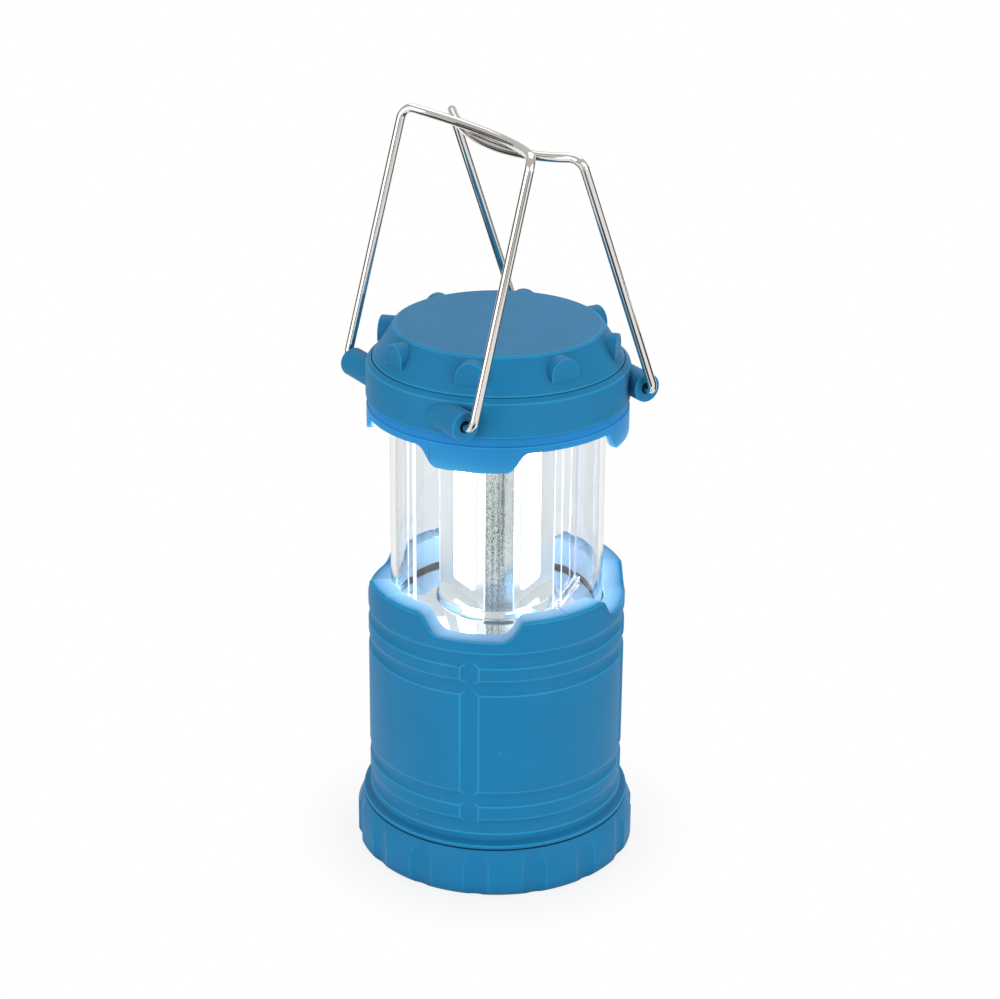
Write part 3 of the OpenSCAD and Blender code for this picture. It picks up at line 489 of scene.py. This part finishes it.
def nose_speckle_and_painted_reflection():
    """Thin plating on the noses: bright, with the dark plastic showing through it in speckle, and
    its tone held darker overall as a painted dark reflection. Its grains are 0.26 mm wide,
    coarser than real so that they show."""
    material, tree, output = blank("speckled_nose")
    place = add(tree, "ShaderNodeTexCoord").outputs["Object"]
    speckle = drawn_noise(tree, place, 0.7, Scale=3800.0, Detail=1.0, Roughness=0.5)
    drawn = drawn_noise(tree, place, 0.01, Scale=900.0, Detail=1.0)
    faint = add(tree, "ShaderNodeMath", [(drawn.outputs[0], 0)], at={1: 0.6, 2: 0.2},
                operation="MULTIPLY_ADD")
    both = add(tree, "ShaderNodeMath", [(speckle.outputs[0], 0), (faint.outputs[0], 1)],
               operation="ADD")
    ramp = add(tree, "ShaderNodeValToRGB", [(both.outputs[0], 0)])
    dark, light = ramp.color_ramp.elements
    dark.position, dark.color = 0.84, linear("5C6A61")
    light.position, light.color = 1.12, linear("E6ECEA")
    # open seam where two shells meet on the crest of each nose
    seam = None
    for direction in STRIPS:
        across = math.radians(direction + 90.0)
        side = add(tree, "ShaderNodeVectorMath", [(place, 0)],
                   at={1: (math.cos(across), math.sin(across), 0.0)}, operation="DOT_PRODUCT")
        off = add(tree, "ShaderNodeMath", [(side.outputs["Value"], 0)], operation="ABSOLUTE")
        if seam:
            off = add(tree, "ShaderNodeMath", [(seam.outputs[0], 0), (off.outputs[0], 1)],
                      operation="MINIMUM")
        seam = off
    gap = add(tree, "ShaderNodeMath", [(seam.outputs[0], 0)], at={1: SEAM_HALF},
              operation="LESS_THAN")
    tone = add(tree, "ShaderNodeMix", [(gap.outputs[0], 0), (ramp.outputs[0], 6)],
               data_type="RGBA")
    height = add(tree, "ShaderNodeSeparateXYZ", [(place, 0)])
    foot = low("reflector_1")[2]
    upper = add(tree, "ShaderNodeMapRange", [(height.outputs["Z"], "Value")],
                From_Min=foot + CRACK[0], From_Max=foot + CRACK[1])
    crack = add(tree, "ShaderNodeMix", [(upper.outputs[0], 0)],
                at={6: linear("101412"), 7: linear("DCD4D0")}, data_type="RGBA")
    tree.links.new(crack.outputs[2], tone.inputs[7])
    # painted light: a haze of the strips' light down by the foot, as emission
    haze = add(tree, "ShaderNodeMapRange", [(height.outputs["Z"], "Value")],
               From_Min=foot + HAZE, From_Max=foot,
               To_Max=0.34)
    bump = add(tree, "ShaderNodeBump", [(speckle.outputs[0], "Height")], Strength=0.10,
               Distance=0.0001)
    shader = add(tree, "ShaderNodeBsdfPrincipled",
                 [(tone.outputs[2], "Base Color"), (bump.outputs[0], "Normal"),
                  (haze.outputs[0], "Emission Strength")], Metallic=1.0, Roughness=0.20,
                 Emission_Color=linear("D3E0EC"))
    tree.links.new(shader.outputs[0], output.inputs[0])
    return material


def nickel_plate(colour):
    """Bright nickel on drawn steel: near a mirror, with draw lines 0.4 mm wide along the legs
    and dull spots some 5 mm across."""
    material, tree, output = blank("nickel_plate")
    place = add(tree, "ShaderNodeTexCoord").outputs["Object"]
    drawn = drawn_noise(tree, place, 0.05, Scale=2500.0, Detail=2.0)
    bump = add(tree, "ShaderNodeBump", [(drawn.outputs[0], "Height")], Strength=0.04,
               Distance=0.0001)
    spots = add(tree, "ShaderNodeTexNoise", [(place, "Vector")], Scale=220.0, Detail=2.0)
    dull = add(tree, "ShaderNodeMapRange", [(spots.outputs[0], "Value")], From_Min=0.45,
               From_Max=0.75, To_Min=0.05, To_Max=0.16)
    shader = add(tree, "ShaderNodeBsdfPrincipled",
                 [(bump.outputs[0], "Normal"), (dull.outputs[0], "Roughness")],
                 Base_Color=[*colour, 1.0], Metallic=1.0)
    tree.links.new(shader.outputs[0], output.inputs[0])
    return material


# ---- meshes ---------------------------------------------------------------------------------


def finish_piece(mesh, name, body, nodes, materials):
    """Makes the object, gives it its materials and seats it in the frame."""
    piece = bpy.data.objects.new(name, mesh)
    bpy.context.scene.collection.objects.link(piece)
    for material in materials:
        mesh.materials.append(material)
    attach(piece, body)
    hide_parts(*nodes)
    return piece


def body_of(node):
    """The body a node rides on."""
    groups = frame["record"]["behaviour"]["bodies"]
    return next(body for body, members in groups.items() if node in members)


def moulded(node, materials, width, chosen=None):
    """The node's own shape with its facets joined, shaded smooth and its outer edges
    rounded, or only the chosen ones; the rounds take the second material."""
    mesh = frame["nodes"][node].data.copy()
    mesh.materials.clear()
    bm = bmesh.new()
    bm.from_mesh(mesh)
    bmesh.ops.remove_doubles(bm, verts=bm.verts, dist=MERGE)
    bmesh.ops.dissolve_limit(bm, angle_limit=FLAT_BEND, verts=bm.verts, edges=bm.edges,
                             delimit={"NORMAL"})
    for face in bm.faces:
        face.smooth = True
    weight = bm.edges.layers.float.new("bevel_weight_edge")
    for edge in bm.edges:
        bend = edge.calc_face_angle_signed() if len(edge.link_faces) == 2 else 0.0
        edge.smooth = abs(bend) < EDGE_BEND
        outer = bend >= EDGE_BEND and (chosen is None or chosen(edge))
        edge[weight] = 1.0 if outer else 0.0
    bm.to_mesh(mesh)
    bm.free()
    piece = finish_piece(mesh, node + "_look", body_of(node), [node], materials)
    if width:
        bevel = piece.modifiers.new("edge_round", "BEVEL")
        bevel.width = width
        bevel.segments = EDGE_STEPS
        bevel.limit_method = "WEIGHT"
        bevel.use_clamp_overlap = False
        bevel.material = 1 if len(materials) > 1 else -1
    return piece


def outside(edge):
    """Whether an edge is on the outer face of the base, clear of the lugs inside."""
    return min(math.hypot(*vert.co.xy) for vert in edge.verts) > BODY_R - SKIN


def above_lugs(edge):
    """Whether an edge of the body is clear of the lugs that hold the base."""
    return (min(vert.co.z for vert in edge.verts) > high("base_cover")[2]
            or outside(edge))


def beside_seam(edge):
    """Whether an edge of a reflector runs upright and is clear of the seams of the noses."""
    start, end = (vert.co for vert in edge.verts)
    middle = (start + end) / 2
    across = [abs(middle.x * math.sin(math.radians(d)) - middle.y * math.cos(math.radians(d)))
              for d in STRIPS]
    return abs((end - start).normalized().z) > 0.9 and min(across) > SEAM_ROOM


def rounded(before, corner, after, radius, steps):
    """Points of the arc that rounds the corner of a path."""
    arm_in = (before - corner).normalized()
    arm_out = (after - corner).normalized()
    opening = arm_in.angle(arm_out)
    centre = corner + (arm_in + arm_out).normalized() * radius / math.sin(opening / 2)
    start = corner + arm_in * radius / math.tan(opening / 2) - centre
    axis = arm_out.cross(arm_in).normalized()
    turn = math.pi - opening
    arc = [centre + Matrix.Rotation(-turn * i / steps, 3, axis) @ start
           for i in range(steps + 1)]
    flipped = [centre + Matrix.Rotation(turn * i / steps, 3, axis) @ start
               for i in range(steps + 1)]
    goal = corner + arm_out * radius / math.tan(opening / 2)
    return min((arc, flipped), key=lambda points: (points[-1] - goal).length)


def wire_path(props):
    """Middle line of a handle: hinge on X, legs up Z, crossbar bowed towards Y."""
    tilt = math.atan((props.foot_width - props.bar_width)
                     / (props.height - props.foot_bend - props.bar_bend))
    tail = Vector((props.foot_width - WIRE_TAIL, 0, 0))
    foot = Vector((props.foot_width, 0, 0))
    rise = Vector((-math.sin(tilt), 0, math.cos(tilt)))
    foot_start = Vector((props.foot_width - props.foot_bend * (1 - math.cos(tilt)), 0,
                         props.foot_bend * (1 + math.sin(tilt))))
    leg = ((props.height - props.foot_bend * (1 + math.sin(tilt)) - props.bar_bend)
           / math.cos(tilt))
    inward = Vector((-math.cos(props.bow), math.sin(props.bow), 0))
    reach = props.bar_bend / math.tan((-rise).angle(inward) / 2)
    elbow = foot_start + rise * (leg + reach)
    end = elbow + inward * reach
    bow_r = end.x / math.sin(props.bow)
    hub = Vector((0, end.y - bow_r * math.cos(props.bow), end.z))
    half = [tail]
    half += rounded(tail, foot, foot_start, props.foot_bend, props.steps)
    half += rounded(foot_start, elbow, end, props.bar_bend, props.steps)
    half += [hub + Matrix.Rotation(-props.bow * (1 - i / props.steps), 3, "Z")
             @ Vector((0, bow_r, 0)) for i in range(1, props.steps + 1)]
    mirrored = [Vector((-point.x, point.y, point.z)) for point in reversed(half[:-1])]
    return half + mirrored


def coat(node, material):
    """Gives a CAD node a finish without touching its shape."""
    mesh = frame["nodes"][node].data
    mesh.materials.clear()
    mesh.materials.append(material)


# ---- operators ------------------------------------------------------------------------------


class LanternOperator:
    """What every operator here shares."""

    bl_options = {"REGISTER", "UNDO"}

    @property
    def mouldings(self):
        return bpy.context.scene.lantern_mouldings

    @property
    def light(self):
        return bpy.context.scene.lantern_light

    @property
    def wire(self):
        return bpy.context.scene.lantern_wire


class LANTERN_OT_base(LanternOperator, bpy.types.Operator):
    """Dress the scalloped base"""

    bl_idname = "lantern.base"
    bl_label = "Base"

    def execute(self, context):
        props = self.mouldings
        # the second coat paints a highlight on the rounded edges
        coats = [soft_coat("base_soft_coat", props.body_blue, props.roughness),
                 soft_coat("base_edge_painted_highlight",
                           [(a + b) / 2 for a, b in zip(props.body_blue, props.highlight_blue)],
                           props.roughness)]
        moulded("base_cover", coats, props.edge_round * 0.7, chosen=outside)
        return {"FINISHED"}


class LANTERN_OT_body(LanternOperator, bpy.types.Operator):
    """Dress the ribbed body"""

    bl_idname = "lantern.body"
    bl_label = "Body"

    def execute(self, context):
        props = self.mouldings
        # painted light of the strips on the inner and top faces of the rim
        lit = (BODY_R - RIM_WALL, BODY_R - RIM_DEPTH, "AFD6FA",
               high("body_shell")[2] - RIM_HEIGHT)
        # the second coat paints a highlight on the rounded edges
        coats = [soft_coat("body_soft_coat", props.body_blue, props.roughness, lit=lit,
                           seam=0.22),
                 soft_coat("body_edge_painted_highlight", props.highlight_blue, props.roughness, lit=lit,
                           seam=0.22)]
        moulded("body_shell", coats, props.edge_round, chosen=above_lugs)
        return {"FINISHED"}


class LANTERN_OT_head(LanternOperator, bpy.types.Operator):
    """Dress the skirt, ring and cap"""

    bl_idname = "lantern.head"
    bl_label = "Head"

    def execute(self, context):
        props = self.mouldings
        # the second coat of each paints a highlight on the rounded edges
        head = [soft_coat("head_soft_coat", props.head_blue, props.roughness),
                soft_coat("head_edge_painted_highlight", props.highlight_blue, props.roughness)]
        outer = high("cap_skirt")[1]
        # painted light of the strips near the tips of the skirt's tabs
        lit = (outer - SKIRT_LIT[0], outer - SKIRT_LIT[1], "D6ECFC", 0.0)
        skirt = [soft_coat("skirt_soft_coat", props.body_blue, props.roughness,
                           glow=props.skirt_glow, lit=lit),
                 soft_coat("skirt_edge_painted_highlight", props.highlight_blue, props.roughness,
                           glow=props.skirt_glow, lit=lit)]
        moulded("cap_ring", head, props.edge_round)
        moulded("cap_top", head, props.edge_round * 0.9)
        moulded("cap_skirt", skirt, props.edge_round * 0.7)
        return {"FINISHED"}


class LANTERN_OT_light_column(LanternOperator, bpy.types.Operator):
    """Silver the column and switch its strips on"""

    bl_idname = "lantern.light_column"
    bl_label = "Light column"

    def execute(self, context):
        props = self.light
        # painted glare of the strips: a faint glow on the shells, a strong one on their rounded crests
        shell = silvered("silvered_shell", [c * 0.85 for c in props.silver], 0.5, streak=0.2,
                         glow=0.15)
        ridge = silvered("silvered_crest_painted_glare", props.silver, 0.3, glow=0.8)
        nose = nose_speckle_and_painted_reflection()
        nose_r = high("reflector_2")[1] - SKIN
        floor = silvered("silvered_floor", props.silver, 0.06)
        foot = silvered("silvered_foot", props.silver, 0.04)
        strip = lit_strip(props.strip_colour, props.strip_power)
        # painted light: the board glows in its own white, as emission
        board = aged("board_white", "F1F2EE", 0.45, patch=300.0, glow=0.9)
        for n in (1, 2, 3):
            piece = moulded(f"reflector_{n}", [shell, ridge, nose], 0.3 * MM,
                            chosen=beside_seam)
            for face in piece.data.polygons:
                centre = face.center
                outward = Vector((centre.x, centre.y, 0)).normalized()
                if face.normal.dot(outward) > 0.8 and Vector(centre[:2]).length > nose_r:
                    face.material_index = 2
            coat(f"led_board_{n}", board)
            coat(f"led_strip_{n}", strip)
        moulded("floor_mirror", [floor], 0)
        moulded("column_foot", [foot], 0.15 * MM)
        # the second finish paints the strips' light glowing at the bar's rounded edges
        moulded("wire_cover", [clear_styrene("clear_bar", "F8FAFF"),
                               clear_styrene("clear_bar_painted_glow", "FAFBFF", glow=0.9)], 0.2 * MM)
        return {"FINISHED"}


class LANTERN_OT_globe(LanternOperator, bpy.types.Operator):
    """Dress the clear globe"""

    bl_idname = "lantern.globe"
    bl_label = "Globe"

    def execute(self, context):
        wall = clear_styrene("clear_wall", "F2F5F6")
        edge = clear_styrene("clear_edge_painted_glow", "FAFBFF", glow=0.9)
        piece = moulded("globe", [wall, edge], 0)
        # painted light: the upright sides of the ribs glow, standing in for the light that runs along in the wall
        for face in piece.data.polygons:
            outward = Vector((face.center.x, face.center.y, 0)).normalized()
            if abs(face.normal.z) < 0.5 and abs(face.normal.dot(outward)) < 0.5:
                face.material_index = 1
        return {"FINISHED"}


class LANTERN_OT_handles(LanternOperator, bpy.types.Operator):
    """Bend the two handles of plated wire and lean them as at rest"""

    bl_idname = "lantern.handles"
    bl_label = "Handles"

    def execute(self, context):
        nickel = nickel_plate(self.wire.nickel)
        for node, joint, lean in (("handle_a", HINGE_A, self.wire.lean_a),
                                  ("handle_b", HINGE_B, self.wire.lean_b)):
            side = -1.0 if node == "handle_a" else 1.0
            turned = Matrix.Rotation(0.0 if side < 0 else math.pi, 4, "Z")
            seat = (Matrix.Translation(joint["pos_m"])
                    @ Matrix.Rotation(side * lean, 4, "X") @ turned)
            wire = bpy.data.curves.new(node + "_look", "CURVE")
            wire.dimensions = "3D"
            wire.bevel_depth = self.wire.diameter / 2
            wire.bevel_resolution = 8
            wire.use_fill_caps = True
            points = [seat @ point for point in wire_path(self.wire)]
            spline = wire.splines.new("POLY")
            spline.points.add(len(points) - 1)
            for target, point in zip(spline.points, points):
                target.co = (*point, 1.0)
            spline.use_smooth = True
            finish_piece(wire, node + "_look", body_of(node), [node], [nickel])
        return {"FINISHED"}


class LANTERN_OT_inner_pieces(LanternOperator, bpy.types.Operator):
    """Give the pieces inside their finishes"""

    bl_idname = "lantern.inner_pieces"
    bl_label = "Inner pieces"

    def execute(self, context):
        # zinc plate: cool grey with cloudy patches
        steel = aged("zinc_plate", "B9BEC2", 0.32, 1.0, patch=700.0, swing=0.16)
        # spring brass: warm, drawn along its length, with browner handled spots
        brass = aged("spring_brass", "C7A86A", 0.3, 1.0, patch=500.0, swing=0.2, lean=0.2)
        # nickelled contacts: pale and a little yellow, wiped smooth
        nickel = aged("contact_nickel", "D0CBB8", 0.28, 1.0, patch=600.0, swing=0.12)
        # natural plastic: milky white with faint flow marks
        white = aged("natural_plastic", "E4E6E8", 0.45, patch=60.0, swing=0.05)
        # black plastic: even eroded grain that kills the gloss
        black = aged("black_plastic", "24272A", 0.5, patch=90.0, swing=0.15, grain=0.0004)
        # dark plastic of the carriage: brownish, smoother where it slides
        dark = aged("dark_plastic", "453F44", 0.4, patch=50.0, swing=0.12, lean=0.3)
        # cell cans: a printed sleeve, black below and copper above, over bright steel
        can = banded("cell_sleeve", aged("cell_can", "F0F0F0", 0.28, 0.4, patch=80.0,
                                         swing=0.04), "cell_1",
                     ((0.0, "C9CCCE"), (0.02, "25262A"), (0.68, "C08040"), (0.97, "C9CCCE")))
        finishes = {
            "tray_screws": steel, "carrier_screws": steel, "head_screws": steel,
            "contact_rails": brass, "wiper_contacts": brass, "cell_links": nickel,
            "cell_terminals": nickel, "carrier": dark, "head_plate": white,
            "battery_tray": black, "cell_1": can, "cell_2": can, "cell_3": can,
            "driver_board": solder_mask(),
        }
        for node, finish in finishes.items():
            coat(node, finish)
        return {"FINISHED"}


class LANTERN_OT_studio(LanternOperator, bpy.types.Operator):
    """Set up the floor, the soft lamps, the white surround and the camera"""

    bl_idname = "lantern.studio"
    bl_label = "Studio"

    def execute(self, context):
        scene = context.scene
        scene.view_settings.view_transform = "Standard"
        world = bpy.data.worlds.new("studio")
        scene.world = world
        world.use_nodes = True
        tree = world.node_tree
        tree.nodes.clear()
        output = add(tree, "ShaderNodeOutputWorld")
        soft = add(tree, "ShaderNodeBackground", Color=linear("F4F3F2"))
        white = add(tree, "ShaderNodeBackground", Color=(1, 1, 1, 1), Strength=1.0)
        rays = add(tree, "ShaderNodeLightPath")
        seen = any_ray(tree, rays, "Camera", "Transmission")
        bright = add(tree, "ShaderNodeMapRange", [(rays.outputs["Is Glossy Ray"], "Value")],
                     To_Min=0.42, To_Max=0.66)
        tree.links.new(bright.outputs[0], soft.inputs["Strength"])
        mix = add(tree, "ShaderNodeMixShader",
                  [(seen, 0), (soft.outputs[0], 1), (white.outputs[0], 2)])
        tree.links.new(mix.outputs[0], output.inputs[0])

        mesh = bpy.data.meshes.new("floor")
        bm = bmesh.new()
        bmesh.ops.create_circle(bm, cap_ends=True, segments=64, radius=FLOOR_R)
        bm.to_mesh(mesh)
        bm.free()
        floor = bpy.data.objects.new("floor", mesh)
        scene.collection.objects.link(floor)
        mesh.materials.append(self.paper())

        # cards on the floor that only bright metal sees: dark ones in front and at the sides,
        # and a grey one further in front; start and sweep are in radians
        black = matt_card("black_card", "343634")
        grey = matt_card("grey_card", "B6B1AC")
        brown = matt_card("brown_card", "6E5A48")
        dim = matt_card("dim_card", "63615D")
        front = math.radians(AZIMUTH - 90.0)
        self.card("front_card_near", black, 0.10, 0.36, front - 0.42, 0.84)
        self.card("front_card_far", grey, 0.37, 0.90, front - 0.33, 0.66)
        self.panel("front_panel_left", brown, front - 0.66, 0.30)
        self.panel("front_panel_right", brown, front + 0.36, 0.30)
        self.panel("side_panel_left", dim, front - 2.45, 0.85)
        self.panel("side_panel_right", dim, front + 1.60, 0.85)
        self.card("side_card_left", black, 0.16, 1.10, front - 2.35, 0.95)
        self.card("side_card_right", black, 0.16, 1.10, front + 1.40, 0.95)

        self.lamp("key_lamp", -48.0, 16.0, 1.25, 0.9, 9.3)
        self.lamp("fill_lamp", 46.0, 18.0, 1.25, 0.9, 9.0)
        self.lamp("top_lamp", 170.0, 62.0, 1.6, 1.4, 9.5)
        self.camera(scene)
        return {"FINISHED"}

    @staticmethod
    def paper():
        """White paper: it takes the lantern's shadow close by and fades to pure white."""
        material, tree, output = blank("studio_paper")
        place = add(tree, "ShaderNodeTexCoord").outputs["Object"]
        length = add(tree, "ShaderNodeVectorMath", [(place, 0)], operation="LENGTH")
        fade = add(tree, "ShaderNodeMapRange", [(length.outputs["Value"], "Value")],
                   interpolation_type="SMOOTHSTEP", From_Min=SHADOW[0],
                   From_Max=SHADOW[1], To_Min=0.82, To_Max=1.0)
        rays = add(tree, "ShaderNodeLightPath")
        shown = any_ray(tree, rays, "Camera", "Transmission", "Glossy")
        share = add(tree, "ShaderNodeMath", [(fade.outputs[0], 0), (shown, 1)],
                    operation="MULTIPLY")
        cover = add(tree, "ShaderNodeBsdfDiffuse", Color=linear("F2F2F2"))
        white = add(tree, "ShaderNodeEmission", Color=(1, 1, 1, 1), Strength=1.0)
        mix = add(tree, "ShaderNodeMixShader", [(share.outputs[0], 0), (cover.outputs[0], 1),
                                                (white.outputs[0], 2)])
        tree.links.new(mix.outputs[0], output.inputs[0])
        return material

    def panel(self, name, material, start, sweep):
        """A standing sector of a drum, seen by reflections alone."""
        distance, foot, top = PANEL
        self.swept(name, material, ((distance, 0, foot), (distance, 0, top)), start, sweep)

    def card(self, name, material, near, far, start, sweep):
        """A flat sector of a ring just over the floor, seen by reflections alone."""
        self.swept(name, material, ((near, 0, CARD_HEIGHT), (far, 0, CARD_HEIGHT)),
                   start, sweep)

    @staticmethod
    def swept(name, material, line, start, sweep):
        """Sweeps a line round Z into a card."""
        mesh = bpy.data.meshes.new(name)
        bm = bmesh.new()
        turn = Matrix.Rotation(start, 3, "Z")
        ends = [bm.verts.new(turn @ Vector(point)) for point in line]
        edge = bm.edges.new(ends)
        bmesh.ops.spin(bm, geom=[*ends, edge], cent=(0, 0, 0), axis=(0, 0, 1), angle=sweep,
                       steps=24)
        bm.to_mesh(mesh)
        bm.free()
        mesh.materials.append(material)
        card = bpy.data.objects.new(name, mesh)
        bpy.context.scene.collection.objects.link(card)
        for ray in ("camera", "diffuse", "transmission", "volume_scatter", "shadow"):
            setattr(card, "visible_" + ray, False)

    @staticmethod
    def lamp(name, side, height, width, tall, power):
        """A soft lamp, side degrees right of the camera and height degrees up."""
        back = towards(AZIMUTH + side, height)
        data = bpy.data.lights.new(name, "AREA")
        data.shape = "RECTANGLE"
        data.size = width
        data.size_y = tall
        data.energy = power
        lamp = bpy.data.objects.new(name, data)
        lamp.location = back * LAMP_DISTANCE + Vector((0, 0, 0.1))
        lamp.rotation_euler = (-back).to_track_quat("-Z", "Y").to_euler()
        bpy.context.scene.collection.objects.link(lamp)

    @staticmethod
    def camera(scene):
        """A long lens a little above the cap, turned a touch about its own axis."""
        back = towards(AZIMUTH, ELEVATION)
        data = bpy.data.cameras.new("camera")
        data.lens = LENS
        data.shift_x = SHIFT_X
        data.clip_start = 0.05
        camera = bpy.data.objects.new("camera", data)
        scene.collection.objects.link(camera)
        camera.rotation_mode = "QUATERNION"
        facing = (-back).to_track_quat("-Z", "Y")
        roll = Matrix.Rotation(math.radians(ROLL), 3, "Z")
        camera.rotation_quaternion = facing @ roll.to_quaternion()
        camera.location = Vector(TARGET) + back * CAMERA_DISTANCE
        scene.camera = camera


class LANTERN_PT_panel(bpy.types.Panel):
    """Sidebar panel that lists the pieces"""

    bl_idname = "LANTERN_PT_panel"
    bl_label = "Lantern"
    bl_space_type = "VIEW_3D"
    bl_region_type = "UI"
    bl_category = "Lantern"

    def draw(self, context):
        for group in ("lantern_mouldings", "lantern_light", "lantern_wire"):
            column = self.layout.column()
            props = getattr(context.scene, group)
            for name in props.__annotations__:
                column.prop(props, name)
        for operator in STEPS:
            self.layout.operator(operator.bl_idname)


STEPS = (LANTERN_OT_base, LANTERN_OT_body, LANTERN_OT_head, LANTERN_OT_light_column,
         LANTERN_OT_globe, LANTERN_OT_handles, LANTERN_OT_inner_pieces, LANTERN_OT_studio)
GROUPS = {"lantern_mouldings": LanternMouldings, "lantern_light": LanternLight,
          "lantern_wire": LanternWire}


def register():
    for group in (*GROUPS.values(), *STEPS, LANTERN_PT_panel):
        bpy.utils.register_class(group)
    for name, group in GROUPS.items():
        setattr(bpy.types.Scene, name, bpy.props.PointerProperty(type=group))


def unregister():
    for name in GROUPS:
        delattr(bpy.types.Scene, name)
    for group in (LANTERN_PT_panel, *reversed(STEPS), *reversed(GROUPS.values())):
        bpy.utils.unregister_class(group)


def main():
    register()
    for step in STEPS:
        group, name = step.bl_idname.split(".")
        result = getattr(getattr(bpy.ops, group), name)()
        if "FINISHED" not in result:
            raise RuntimeError(f"{step.bl_label} did not finish")


if __name__ == "__main__":
    main()
